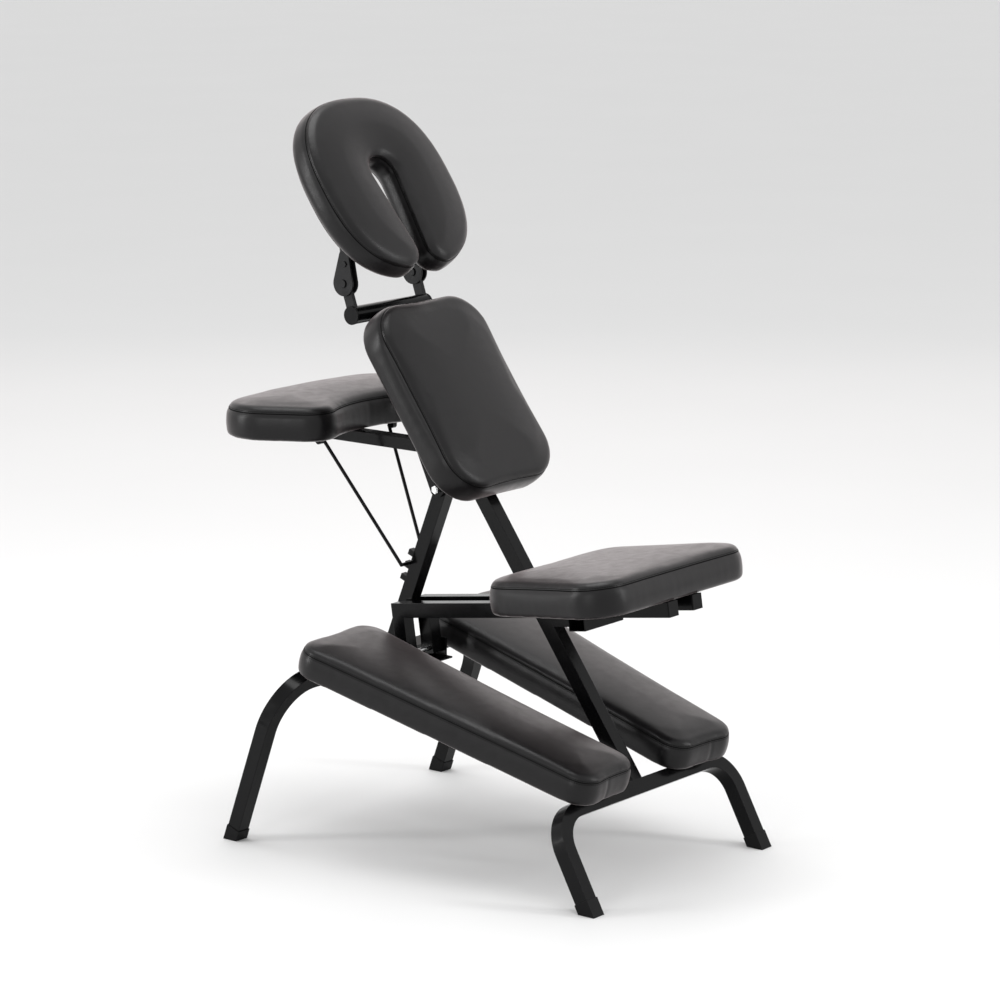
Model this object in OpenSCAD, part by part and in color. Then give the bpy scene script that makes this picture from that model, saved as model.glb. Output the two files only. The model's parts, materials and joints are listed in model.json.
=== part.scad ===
// Kneeling massage chair: square-tube frame with a folding A, five upholstered pads and a tilting face cradle.
// Axes: +X is the client's right, +Y the way the client faces, +Z up. Origin: centre of the footprint, on the floor.

/* [Frame tube] */
// Side of the square frame tube
tube = 25; // [22:1:28]
// Wall of the frame tubes
wall = 1.5; // [1.2:0.1:2]

/* [Rear frame] */
// Angle of the main beam above the floor
beam_angle = 55; // [53:0.5:57]
// Height of the rear cross tube's axis
rear_bar_z = 144; // [140:1:148]
// Place of the rear cross tube, along Y
rear_bar_y = -334; // [-340:1:-328]
// Half the width between the rear legs' axes
rear_half_w = 235; // [225:1:240]
// Place of the rear feet, along Y
rear_foot_y = -412; // [-418:1:-406]
// Bend radius of the rear legs
rear_bend = 58; // [50:1:80]
// Height of the neck bar's axis
neck_z = 883; // [870:1:895]
// Length of the neck bar
neck_len = 190; // [188:1:212]
// Outside diameter of the neck bar
neck_d = 30; // [28:1:32]

/* [Front frame] */
// Angle of the front strut above the floor
strut_angle = 68.5; // [68:0.5:69]
// Height of the front cross tube's axis
front_bar_z = 279; // [276:1:282]
// Place of the front cross tube, along Y
front_bar_y = 211; // [208:1:214]
// Half the width between the front legs' axes
front_half_w = 274; // [270:1:280]
// Place of the front feet, along Y
front_foot_y = 312; // [308:1:318]
// Bend radius of the front legs
front_bend = 85; // [75:1:95]

/* [Seat] */
// Slope of the seat rails, front end lower
rail_slope = 8.4; // [8:0.1:9]
// Half the distance between the seat rails' axes
rail_x = 33; // [31:1:34]
// Width of the seat pad at its rear and front
seat_w = [412, 358]; // [300:1:420]
// Depth of the seat pad
seat_l = 284; // [270:1:288]
// Thickness of the seat pad
seat_t = 60; // [56:1:64]

/* [Knee pads] */
// Slope of the knee pads, rear end lower
knee_slope = 15.5; // [15:0.1:16]
// Width of one knee pad at its rear and front
knee_w = [160, 204]; // [150:1:210]
// Length and thickness of one knee pad
knee_size = [582, 55]; // [50:1:600]
// Distance from the middle of the chair to the middle of a knee pad
knee_x = 154; // [152:1:156]

/* [Chest pad] */
// Width, length and thickness of the chest pad
chest_size = [268, 349, 62]; // [50:1:360]
// Height of the chest pad's centre
chest_z = 751; // [745:1:757]

/* [Arm rest] */
// Half the width of the arm pad
arm_half_w = 210; // [200:1:216]
// Depth of the arm pad
arm_l = 207; // [200:1:212]
// Thickness of the arm pad
arm_t = 60; // [56:1:64]
// Diameter of the stay rod
rod_d = 6; // [5:0.5:7]

/* [Face cradle] */
// Width, length and thickness of the face pad
face_size = [324, 328, 62]; // [60:1:350]
// Tilt of the face pad above the floor
face_tilt = 55.2; // [53:0.1:57]
// Place of the face pad's centre, Y and Z
face_c = [211.5, 1087]; // [200:1:1100]

/* [Hidden] */

gap = 0.3;             // running gap between parts on different bodies
hair = 0.05;           // radial clearance of a pin in its hole
plate = 3;             // steel plate
m8 = 4;                // radius of the pivot bolts
m5 = 2.5;              // radius of the pad screws
board_t = 10;          // plywood under each pad
board_inset = 14;      // margin of the plywood inside the pad's edge
pad_r = 46;            // corner radius of the pads in plan
inner = tube - 2 * wall;
lap = 0.02;            // overlap of a straight tube with its bend

// main beam: a line through the rear cross tube
beam_z0 = rear_bar_z;
beam_y0 = rear_bar_y + 12;
function beam_y(z) = beam_y0 + (z - beam_z0) / tan(beam_angle);
beam_top = (neck_z - beam_z0) / sin(beam_angle);
neck_y = beam_y(neck_z);

// front strut: a line through the front cross tube, meeting the beam's axis at the apex
strut_y0 = front_bar_y - 14;
function strut_y(z) = strut_y0 - (z - front_bar_z) / tan(strut_angle);
apex_z = (strut_y0 - beam_y0 + front_bar_z / tan(strut_angle) + beam_z0 / tan(beam_angle))
    / (1 / tan(beam_angle) + 1 / tan(strut_angle));
v_angle = 180 - beam_angle - strut_angle;
hinge_off = 32;        // from the beam's axis to the fold hinge
hinge_down = hinge_off / sin(v_angle);
fold_z = apex_z - hinge_down * sin(strut_angle);
fold_y = strut_y(fold_z);
strut_over = 10;       // strut beyond the fold hinge

// seat rails: a line, front end lower
rail_front = [157, 388];   // top front corner of a rail, Y and Z
rail_len = 581;
leg_drop = 90;             // from the rail's top to the seat hinge, along the down-leg
leg_end = 9;               // down-leg beyond the seat hinge
function along_rail(s, d) = [rail_front[0] - s * cos(rail_slope) - d * sin(rail_slope),
    rail_front[1] + s * sin(rail_slope) - d * cos(rail_slope)];
seat_hinge = along_rail(tube / 2, leg_drop);
seat_s = 440.5;              // from the rails' front end to the seat pad's middle

// arm rest
arm_pivot_z = 590.5;
arm_pivot_y = strut_y(arm_pivot_z) + 4;
arm_tube_w = 30;
arm_tube_h = 20;
arm_tube_z = 649;          // underside of the arm tube
arm_tube_back = 92;
arm_tube_front = 370;
arm_pad_z = arm_tube_z + arm_tube_h + plate;
arm_pad_y = 324.2;           // middle of the arm pad
strap_lean = 24.5;         // of the straps, forward from upright
strap_w = 28;
rod_top = [269, arm_tube_z + arm_tube_h + plate - 9];
rod_top_x = 95;
rod_low_x = 31;
hook_pitch = 24;
hook_z = 445;              // top of the middle peg, on the strut's axis

// knee pads
knee_mid = [-95.5, 260.1]; // middle of a knee pad, Y and Z
knee_yaw = 4.7;            // the pads spread towards the front
knee_hinge = [178, 292];   // hinge axis, Y and Z
knee_hinge_x = knee_x + (knee_hinge[0] - knee_mid[0]) * tan(knee_yaw);

// face cradle
cradle_hinge = [213, 935];
cradle_x = 90;             // middle of each cradle bracket
plate_gap = 12;            // between the two cheeks of a bracket

module at_yz(p, x = 0) translate([x, p[0], p[1]]) children();
module beam_frame() translate([0, beam_y0, beam_z0]) rotate([beam_angle - 90, 0, 0]) children();
module strut_frame() translate([0, fold_y, fold_z]) rotate([90 - strut_angle, 0, 0]) children();
module rail_frame() at_yz(rail_front) rotate([-rail_slope, 0, 0]) children();

// square tube along +Z from 0 to l
module square_tube(l, w = tube, h = tube) {
    difference() {
        translate([-w / 2, -h / 2, 0]) cube([w, h, l]);
        translate([-w / 2 + wall, -h / 2 + wall, -1]) cube([w - 2 * wall, h - 2 * wall, l + 2]);
    }
}
// a cylinder along X, centred
module x_rod(r, l, sides = 48) rotate([0, 90, 0]) cylinder(r = r, h = l, center = true, $fn = sides);

// bent leg frame lying in the XY plane: legs down to y = foot, cross tube's axis at y = top
module arch(half, top, r, foot) {
    translate([-half, foot]) square([2 * half, top - r - foot]);
    translate([r - half, foot]) square([2 * (half - r), top - foot]);
    for (side = [-1, 1]) translate([side * (half - r), top - r]) circle(r = r, $fn = 96);
}
module leg_solid(half_w, top, bend, s, foot) {
    linear_extrude(s, center = true) difference() {
        arch(half_w + s / 2, top + s / 2, bend + s / 2, foot);
        arch(half_w - s / 2, top - s / 2, bend - s / 2, foot - 50);
    }
}
module leg_frame(half_w, top, bend, foot) {
    difference() {
        leg_solid(half_w, top, bend, tube, foot);
        leg_solid(half_w, top, bend, inner, foot - 1);
    }
}
rear_lean = atan((rear_bar_y - rear_foot_y) / rear_bar_z);
front_lean = atan((front_foot_y - front_bar_y) / front_bar_z);
rear_top = rear_bar_z / cos(rear_lean);
front_top = front_bar_z / cos(front_lean);
module rear_plane() translate([0, rear_foot_y, 0]) rotate([90 - rear_lean, 0, 0]) children();
module front_plane() translate([0, front_foot_y, 0]) rotate([90 + front_lean, 0, 0]) children();
foot_lift = 14;        // leg tube's end above the floor, along the leg

// plastic foot cap around a leg's end, cut level with the floor
module foot_cap(half_w, side) {
    translate([side * half_w, 0, 0]) difference() {
        translate([0, 6, 0]) cube([tube + 2.6, 34, tube + 2.6], center = true);
        translate([0, foot_lift + 30, 0]) cube([tube + 0.01, 60, tube + 0.01], center = true);
    }
}
module above_floor() intersection() {
    children();
    translate([-500, -700, 0]) cube([1000, 1400, 400]);
}

// plan outline of a pad, middle at the origin: w0 at -Y and w1 at +Y
module pad_outline(w0, w1, l, r, inset = 0) {
    hull() for (sx = [-1, 1]) {
        translate([sx * (w0 / 2 - r), -l / 2 + r]) circle(r = r - inset, $fn = 48);
        translate([sx * (w1 / 2 - r), l / 2 - r]) circle(r = r - inset, $fn = 48);
    }
}
// pad with its plywood let into the underside; z = 0 is the underside
module pad(w0, w1, l, r, t) difference() {
    linear_extrude(t) pad_outline(w0, w1, l, r);
    translate([0, 0, -1]) linear_extrude(board_t + 1) pad_outline(w0, w1, l, r, board_inset);
}
module pad_board(w0, w1, l, r) linear_extrude(board_t) pad_outline(w0, w1, l, r, board_inset);
// screw with a pan head, head at z = 0, pointing up
module pad_screw(l) {
    translate([0, 0, -2]) cylinder(r = 5, h = 2, $fn = 32);
    cylinder(r = m5, h = l, $fn = 24);
}
// hexagon bolt along X through a stack of half width w, with a nut
module hex_bolt(w, r = m8) {
    x_rod(r, 2 * w + 8);
    translate([-w - 5.4, 0, 0]) rotate([0, 90, 0]) cylinder(r = 7.5, h = 5.4, $fn = 6);
    translate([-w - 5.4 - 1.2, 0, 0]) rotate([0, 90, 0]) cylinder(r = 5.4, h = 1.2, $fn = 32);
    translate([w, 0, 0]) rotate([0, 90, 0]) cylinder(r = 7.5, h = 6.5, $fn = 6);
}

// ---- rear frame ----
module main_beam() color("#1c1c1e") difference() {
    beam_frame() square_tube(beam_top);
    at_yz([neck_y, neck_z]) x_rod(neck_d / 2, 60);
    rear_plane() translate([0, rear_top, 0]) cube([60, tube, tube], center = true);
}
module neck_bar() color("#1c1c1e") at_yz([neck_y, neck_z]) difference() {
    x_rod(neck_d / 2, neck_len, 64);
    x_rod(neck_d / 2 - 2, neck_len + 2, 64);
}
module neck_caps() color("#3a3a3c") for (side = [-1, 1])
    at_yz([neck_y, neck_z], side * (neck_len / 2 + 1.5)) {
        x_rod(neck_d / 2 + 0.5, 3, 64);
        translate([-side * 9, 0, 0]) x_rod(neck_d / 2 - 2, 16, 64);
    }
module rear_leg_frame() color("#1c1c1e")
    rear_plane() leg_frame(rear_half_w, rear_top, rear_bend, foot_lift);
module rear_feet() color("#202022") above_floor()
    rear_plane() for (side = [-1, 1]) foot_cap(rear_half_w, side);
// channel on the beam's front face, its two flanges holding the fold bolt
apex_t = 2;
apex_x = tube / 2 + 0.2;
module apex_bracket() color("#1c1c1e") {
    at = (fold_z - beam_z0) * sin(beam_angle) + (fold_y - beam_y0) * cos(beam_angle);
    beam_frame() translate([0, tube / 2, at]) difference() {
        union() {
            translate([-apex_x - apex_t, 0, -26]) cube([2 * (apex_x + apex_t), apex_t, 52]);
            for (side = [-1, 1]) translate([side * (apex_x + apex_t / 2) - apex_t / 2, 0, -16])
                cube([apex_t, hinge_off - tube / 2 + 13, 32]);
        }
        translate([0, hinge_off - tube / 2, 0]) x_rod(m8 + hair, 60);
    }
}
module apex_bolt() color("#b9bcc0") at_yz([fold_y, fold_z]) hex_bolt(apex_x + apex_t + 0.05);
// cross bar on a stub welded behind the beam, on which both seat rails rest
shelf_w = 104;
shelf_l = 33;
shelf_h = 21;
shelf_s = 415;         // from the rails' front end to the cross bar's rear side
shelf_reach = 110;     // from the cross bar's rear side into the beam, trimmed there
module seat_shelf() color("#1c1c1e") difference() {
    rail_frame() translate([0, -shelf_s, -tube - gap - shelf_h]) difference() {
        union() {
            translate([-shelf_w / 2, 0, 0]) cube([shelf_w, shelf_l, shelf_h]);
            translate([-tube / 2, shelf_l - lap, 0]) cube([tube, shelf_reach - shelf_l, shelf_h]);
        }
        translate([-shelf_w, wall, wall]) cube([2 * shelf_w, shelf_l - 2 * wall, shelf_h - 2 * wall]);
        translate([-inner / 2, shelf_l, wall]) cube([inner, shelf_reach, shelf_h - 2 * wall]);
    }
    beam_frame() translate([-60, -tube / 2, 0]) cube([120, 200, beam_top]);
}
// chest pad: two steel plates on the beam's rear face, a plywood board and the pad
chest_t = 5;           // steel plates behind the chest pad
chest_r = 68;
chest_s = (chest_z - beam_z0 - (tube / 2 + chest_t + chest_size[2] / 2) * cos(beam_angle)) / sin(beam_angle);
module chest_place() beam_frame() translate([0, -tube / 2, chest_s]) rotate([90, 0, 0]) children();
chest_holes = [[-38, -105], [38, -105], [-38, 105], [38, 105]];
module chest_plates() color("#1c1c1e") chest_place() for (v = [-105, 105])
    translate([0, v, 0]) difference() {
        translate([-55, -20, 0]) cube([110, 40, chest_t]);
        for (u = [-38, 38]) translate([u, 0, -1]) cylinder(r = m5 + hair, h = chest_t + 2, $fn = 32);
    }
module chest_board() color("#b08d5f") chest_place() translate([0, 0, chest_t]) difference() {
    pad_board(chest_size[0], chest_size[0], chest_size[1], chest_r);
    for (h = chest_holes) translate([h[0], h[1], -1]) cylinder(r = m5 + hair, h = board_t + 2, $fn = 32);
}
module chest_screws() color("#b9bcc0") chest_place() for (h = chest_holes) translate([h[0], h[1], 0])
    pad_screw(chest_t + board_t - 1);
module chest_pad() color("#2b2b2d") chest_place() translate([0, 0, chest_t + 0.05])
    pad(chest_size[0], chest_size[0], chest_size[1], chest_r, chest_size[2]);
// stems that rise from the neck bar and end as the tongues of the cradle hinge
stem_d = [cradle_hinge[0] - neck_y, cradle_hinge[1] - neck_z];
module cradle_stems() color("#3a3a3c") for (side = [-1, 1]) translate([side * cradle_x, 0, 0]) difference() {
    union() {
        at_yz([neck_y, neck_z]) rotate([atan2(stem_d[1], stem_d[0]), 0, 0])
            translate([-3.8, 0, -9]) cube([7.6, norm(stem_d), 18]);
        at_yz(cradle_hinge) x_rod(13, 8);
    }
    at_yz([neck_y, neck_z]) x_rod(neck_d / 2, 60, 64);
    at_yz(cradle_hinge) x_rod(m8 + hair, 60);
}

// ---- front frame ----
module front_strut() color("#1c1c1e") difference() {
    strut_frame() translate([0, 0, strut_over - 380]) square_tube(380);
    at_yz([fold_y, fold_z]) x_rod(m8 + hair, 60);
    at_yz([arm_pivot_y, arm_pivot_z]) x_rod(m8 + hair, 60);
    front_plane() translate([0, front_top, 0]) cube([60, tube, tube], center = true);
}
module front_leg_frame() color("#1c1c1e")
    front_plane() leg_frame(front_half_w, front_top, front_bend, foot_lift);
module front_feet() color("#202022") above_floor()
    front_plane() for (side = [-1, 1]) foot_cap(front_half_w, side);
// channel that carries the seat rails' down-legs
ear_x = rail_x + tube / 2 + 0.5;
module foot_bracket() color("#1c1c1e") difference() {
    union() {
        translate([-ear_x - plate, seat_hinge[0] - 32, seat_hinge[1] - 17]) cube([2 * (ear_x + plate), 98, plate]);
        for (side = [-1, 1]) translate([side * (ear_x + plate / 2) - plate / 2, seat_hinge[0] - 20, seat_hinge[1] - 17])
            cube([plate, 40, 34]);
    }
    at_yz(seat_hinge) x_rod(m8 + hair, 160);
    strut_frame() translate([-tube / 2 - 0.02, -tube / 2 - 0.02, -400]) cube([tube + 0.04, tube + 0.04, 420]);
    front_plane() translate([0, front_top, 0]) cube([400, tube, tube], center = true);
}
// three pegs on the strut's front face, on one of which the stay rod rests
hook_t = 10;
module stay_hooks() color("#1c1c1e") for (i = [-1, 0, 1])
    strut_frame() translate([-6, tube / 2, (hook_z - fold_z) / sin(strut_angle) + i * hook_pitch - hook_t])
        cube([12, 15, hook_t]);
strap_x = arm_tube_w / 2 + 0.05;
module arm_pivot_bolt() color("#c9ccd0") at_yz([arm_pivot_y, arm_pivot_z]) hex_bolt(strap_x + plate + 0.1);
module seat_pivot_bolt() color("#c9ccd0") at_yz(seat_hinge) hex_bolt(ear_x + plate + 0.05);
// lugs behind the front cross tube, two for each knee pad, and their pins
lug_x = [knee_hinge_x - 24, knee_hinge_x + 24];
module knee_lugs() color("#1c1c1e") for (side = [-1, 1], x = lug_x) difference() {
    union() {
        at_yz(knee_hinge, side * x) x_rod(8, plate);
        translate([side * x - plate / 2, knee_hinge[0], knee_hinge[1] - 14]) cube([plate, 26, 22]);
    }
    at_yz(knee_hinge, side * x) x_rod(m5 + hair, 20);
    front_plane() translate([0, front_top, 0]) cube([600, tube, tube], center = true);
}
module knee_pins() color("#b9bcc0") for (side = [-1, 1]) at_yz(knee_hinge, side * knee_hinge_x) {
    x_rod(m5, 60, 32);
    translate([29, 0, 0]) x_rod(4.5, 2, 32);
    translate([-29, 0, 0]) x_rod(4.5, 2, 32);
}

// ---- seat frame ----
// rail with a mitred corner and a down-leg
module seat_rail(side) color("#1c1c1e") difference() {
    rail_frame() translate([side * rail_x, 0, 0]) union() {
        difference() {
            translate([-tube / 2, -rail_len, -tube]) cube([tube, rail_len, tube]);
            translate([-inner / 2, -rail_len - 1, -tube + wall]) cube([inner, rail_len + 1 - wall, inner]);
        }
        difference() {
            translate([-tube / 2, -tube, -leg_drop - leg_end]) cube([tube, tube, leg_drop + leg_end - tube + lap]);
            translate([-inner / 2, -tube + wall, -leg_drop - 20]) cube([inner, inner, leg_drop + 20 - tube + wall + 1]);
        }
    }
    at_yz(seat_hinge) x_rod(m8 + hair, 160);
}
module seat_rail_left() seat_rail(-1);
module seat_rail_right() seat_rail(1);
module rail_plugs() color("#202022") for (side = [-1, 1]) rail_frame() translate([side * rail_x, -rail_len, -tube / 2]) {
    translate([-tube / 2, -2.5, -tube / 2]) cube([tube, 2.5, tube]);
    translate([-inner / 2, 0, -inner / 2]) cube([inner, 14, inner]);
}
seat_r = 60;
module seat_place() rail_frame() translate([0, -seat_s, 0.05]) children();
seat_holes = [for (x = [-rail_x, rail_x], y = [-90, 90]) [x, y]];
module seat_board() color("#b08d5f") seat_place() difference() {
    pad_board(seat_w[0], seat_w[1], seat_l, seat_r);
    for (h = seat_holes) translate([h[0], h[1], -1]) cylinder(r = m5 + hair, h = board_t + 2, $fn = 32);
}
// screws that start inside the rails' top wall
module seat_screws() color("#b9bcc0") seat_place() for (h = seat_holes) translate([h[0], h[1], 0.02])
    cylinder(r = m5, h = board_t - 1, $fn = 24);
module seat_pad() color("#2b2b2d") seat_place() pad(seat_w[0], seat_w[1], seat_l, seat_r, seat_t);

// ---- knee pads ----
knee_r = 40;
module knee_place(side) translate([side * knee_x, knee_mid[0], knee_mid[1]])
    rotate([0, 0, -side * knee_yaw]) rotate([knee_slope, 0, 0]) translate([0, 0, -knee_size[1] / 2]) children();
knee_holes = [for (x = [-14, 14], y = [196, 232]) [x, y]];
// leaf under the pad's front end with a knuckle around the hinge pin
leaf_t = 2;
module knee_hinge_leaf(side) color("#1c1c1e") difference() {
    union() {
        knee_place(side) translate([-19, 180, -leaf_t - 0.05]) cube([38, 100, leaf_t]);
        at_yz(knee_hinge, side * knee_hinge_x) x_rod(6, 40);
        at_yz(knee_hinge, side * knee_hinge_x) translate([-17, -6, 0]) cube([34, 11, 24]);
    }
    knee_place(side) translate([-60, 0, -0.05]) cube([120, 300, 60]);
    at_yz(knee_hinge, side * knee_hinge_x) x_rod(m5 + hair, 80);
    knee_place(side) for (h = knee_holes) translate([h[0], h[1], -20]) cylinder(r = m5 + hair, h = 30, $fn = 32);
}
module knee_board(side) color("#b08d5f") knee_place(side) difference() {
    pad_board(knee_w[0], knee_w[1], knee_size[0], knee_r);
    for (h = knee_holes) translate([h[0], h[1], -1]) cylinder(r = m5 + hair, h = board_t + 2, $fn = 32);
}
module knee_screws(side) color("#b9bcc0") knee_place(side) for (h = knee_holes)
    translate([h[0], h[1], -leaf_t - 0.07]) pad_screw(board_t);
module knee_pad(side) color("#2b2b2d") knee_place(side)
    pad(knee_w[0], knee_w[1], knee_size[0], knee_r, knee_size[1]);
module knee_hinge_left() knee_hinge_leaf(-1);
module knee_hinge_right() knee_hinge_leaf(1);
module knee_board_left() knee_board(-1);
module knee_board_right() knee_board(1);
module knee_screws_left() knee_screws(-1);
module knee_screws_right() knee_screws(1);
module knee_pad_left() knee_pad(-1);
module knee_pad_right() knee_pad(1);

// ---- arm rest ----
module arm_tube() color("#1c1c1e") translate([0, arm_tube_back, arm_tube_z + arm_tube_h / 2]) rotate([-90, 0, 0])
    square_tube(arm_tube_front - arm_tube_back, arm_tube_w, arm_tube_h);
module arm_straps() color("#1c1c1e") for (side = [-1, 1])
    at_yz([arm_pivot_y, arm_pivot_z], side * (strap_x + plate / 2)) difference() {
        union() {
            x_rod(strap_w / 2, plate);
            rotate([-strap_lean, 0, 0]) translate([-plate / 2, -strap_w / 2, 0])
                cube([plate, strap_w, (arm_tube_z + arm_tube_h - 6 - arm_pivot_z) / cos(strap_lean)]);
        }
        x_rod(m8 + hair, 20);
    }
module arm_tube_plug() color("#202022") translate([0, arm_tube_front, arm_tube_z + arm_tube_h / 2]) {
    translate([-arm_tube_w / 2, 0, -arm_tube_h / 2]) cube([arm_tube_w, 2.5, arm_tube_h]);
    translate([-arm_tube_w / 2 + wall, -12, -arm_tube_h / 2 + wall])
        cube([arm_tube_w - 2 * wall, 12, arm_tube_h - 2 * wall]);
}
arm_holes = [for (x = [-50, 50], y = [-26, 26]) [x, y]];
module arm_plate() color("#1c1c1e") translate([0, arm_pad_y - 10, arm_pad_z - plate + 0.02]) difference() {
    translate([-65, -40, 0]) cube([130, 80, plate - 0.04]);
    for (h = arm_holes) translate([h[0], h[1], -1]) cylinder(r = m5 + hair, h = plate + 2, $fn = 32);
}
// waisted outline: two round lobes towards the client, sides flaring out from them, and a bowed far edge
lobe_r = 42;
lobe_x = 128;
flare_r = 72;
flare_y = 19;
far_r = 62;
far_x = 60;
waist_r = 233;
waist_in = 28;
module arm_outline(inset = 0) difference() {
    hull() for (side = [-1, 1]) {
        translate([side * lobe_x, -arm_l / 2 + lobe_r]) circle(r = lobe_r - inset, $fn = 48);
        translate([side * (arm_half_w - flare_r), flare_y]) circle(r = flare_r - inset, $fn = 64);
        translate([side * far_x, arm_l / 2 - far_r]) circle(r = far_r - inset, $fn = 64);
    }
    translate([0, -arm_l / 2 + waist_in - waist_r]) circle(r = waist_r + inset, $fn = 192);
}
module arm_board() color("#b08d5f") translate([0, arm_pad_y, arm_pad_z]) difference() {
    linear_extrude(board_t) arm_outline(board_inset);
    for (h = arm_holes) translate([h[0], h[1] - 10, -1]) cylinder(r = m5 + hair, h = board_t + 2, $fn = 32);
}
module arm_screws() color("#b9bcc0") translate([0, arm_pad_y - 10, arm_pad_z - plate]) for (h = arm_holes)
    translate([h[0], h[1], 0]) pad_screw(plate + board_t - 1);
module arm_pad() color("#2b2b2d") translate([0, arm_pad_y, arm_pad_z]) difference() {
    linear_extrude(arm_t) arm_outline();
    translate([0, 0, -1]) linear_extrude(board_t + 1) arm_outline(board_inset);
}
// eyes screwed under the arm board, in which the stay rod's ends turn
eye_l = 10;
module rod_eyes() color("#1c1c1e") for (side = [-1, 1]) at_yz(rod_top, side * rod_top_x) difference() {
    union() {
        x_rod(6, eye_l);
        translate([-eye_l / 2, -6, 0]) cube([eye_l, 12, arm_pad_z - rod_top[1]]);
        translate([-eye_l / 2, -14, arm_pad_z - rod_top[1] - 2]) cube([eye_l, 28, 2]);
    }
    x_rod(rod_d / 2 + hair, eye_l + 2, 32);
}
// stay rod: a V with a short crossbar below and turned-out ends above
rod_off = tube / 2 + 0.4 + rod_d / 2;
rod_rise = rod_d / 2 + gap;
rod_low = [strut_y(hook_z) + rod_off * sin(strut_angle) - rod_rise * cos(strut_angle),
    hook_z + rod_off * cos(strut_angle) + rod_rise * sin(strut_angle)];
rod_in = rod_top_x - eye_l / 2 - 4;
module rod_leg(side) {
    a = [side * rod_in, rod_top[0], rod_top[1]];
    b = [side * rod_low_x, rod_low[0], rod_low[1]];
    d = b - a;
    translate(a) rotate([0, acos(d[2] / norm(d)), atan2(d[1], d[0])]) cylinder(r = rod_d / 2, h = norm(d), $fn = 32);
    for (p = [a, b]) translate(p) sphere(r = rod_d / 2 + 0.2, $fn = 32);
    at_yz(rod_top, side * (rod_in + eye_l / 2 + 4)) x_rod(rod_d / 2, eye_l + 8, 32);
}
module stay_rod() color("#1c1c1e") {
    for (side = [-1, 1]) rod_leg(side);
    at_yz(rod_low) x_rod(rod_d / 2, 2 * rod_low_x, 32);
}

// ---- face cradle ----
cheek_t = 3;
cheek_x = plate_gap / 2 - 1.5;
upper_rivet = [cradle_hinge[0] - 3, cradle_hinge[1] + 33];
module cheek(x) translate([x, 0, 0]) difference() {
    hull() {
        at_yz(cradle_hinge) x_rod(21, cheek_t);
        at_yz([upper_rivet[0] + 1, upper_rivet[1] + 14]) x_rod(10, cheek_t);
    }
    at_yz(cradle_hinge) x_rod(m8 + hair, 20);
    at_yz(upper_rivet) x_rod(3 + hair, 20);
}
module cradle_plates() color("#3a3a3c") for (side = [-1, 1], s = [-1, 1])
    cheek(side * cradle_x + s * (cheek_x + cheek_t / 2));
module cradle_rivets() color("#3a3a3c") for (side = [-1, 1]) {
    at_yz(cradle_hinge, side * cradle_x) {
        x_rod(m8, 2 * (cheek_x + cheek_t) + 0.1);
        for (s = [-1, 1]) translate([s * (cheek_x + cheek_t + 1.3), 0, 0]) x_rod(7, 2.5, 32);
    }
    at_yz(upper_rivet, side * cradle_x) {
        x_rod(3, 2 * (cheek_x + cheek_t) + 0.1, 32);
        for (s = [-1, 1]) translate([s * (cheek_x + cheek_t + 1.05), 0, 0]) x_rod(5, 2, 32);
    }
}
module face_place() translate([0, face_c[0], face_c[1]]) rotate([face_tilt, 0, 0])
    translate([0, 0, -face_size[2] / 2]) children();
// flat bars from the cheeks to the base plate behind the face pad
arm_top_v = -42;
arm_top = [face_c[0] + arm_top_v * cos(face_tilt) + (face_size[2] / 2 + 6) * sin(face_tilt),
    face_c[1] + arm_top_v * sin(face_tilt) - (face_size[2] / 2 + 6) * cos(face_tilt)];
module cradle_arms() color("#1c1c1e") for (side = [-1, 1]) translate([side * cradle_x, 0, 0]) difference() {
    hull() {
        at_yz([upper_rivet[0], upper_rivet[1] - 2]) x_rod(9, 8.8);
        at_yz(arm_top) x_rod(9, 8.8);
    }
    at_yz(upper_rivet) x_rod(3 + hair, 20);
    face_place() translate([-200, -200, -plate - 0.02]) cube([400, 400, 100]);
}
base_holes = [for (x = [-104, 104], y = [-84, -16]) [x, y]];
module face_base() color("#1c1c1e") face_place() translate([0, 0, -plate]) difference() {
    union() {
        for (side = [-1, 1]) translate([side * 97 - 24, -100, 0]) cube([48, 100, plate]);
        translate([-97, 60, 0]) cube([194, 34, plate]);
        for (side = [-1, 1]) translate([side * 97 - 24, -1, 0]) cube([48, 95, plate]);
    }
    for (h = base_holes) translate([h[0], h[1], -1]) cylinder(r = m5 + hair, h = plate + 2, $fn = 32);
}
// horseshoe outline: a squarish oval with a slot that is round at the brow and narrows to the open chin
slot_r = 30;           // radius of the slot's round end
slot_y = 18;           // its centre
chin_w = 12;           // half the slot's width at the chin
lip_r = 34;            // rounding of the two tips beside it
squareness = 2.5;      // exponent of the oval
function oval(inset, n = 96) = [for (i = [0:n - 1])
    let (c = cos(360 * i / n), s = sin(360 * i / n))
    [(face_size[0] / 2 - inset) * sign(c) * pow(abs(c), 2 / squareness),
     (face_size[1] / 2 - inset) * sign(s) * pow(abs(s), 2 / squareness)]];
module face_outline(inset = 0) difference() {
    polygon(oval(inset));
    hull() {
        translate([0, slot_y]) circle(r = slot_r + inset, $fn = 64);
        translate([-chin_w - inset, -200]) square([2 * (chin_w + inset), 60]);
    }
    difference() {
        translate([-chin_w - lip_r, -200]) square([2 * (chin_w + lip_r), 200 - face_size[1] / 2 + lip_r + 5]);
        for (side = [-1, 1]) translate([side * (chin_w + lip_r), -face_size[1] / 2 + lip_r + 5])
            circle(r = lip_r - inset, $fn = 64);
    }
}
module face_board() color("#b08d5f") face_place() difference() {
    linear_extrude(board_t) face_outline(board_inset);
    for (h = base_holes) translate([h[0], h[1], -1]) cylinder(r = m5 + hair, h = board_t + 2, $fn = 32);
}
module face_screws() color("#b9bcc0") face_place() for (h = base_holes) translate([h[0], h[1], -plate])
    pad_screw(plate + board_t - 1);
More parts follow.
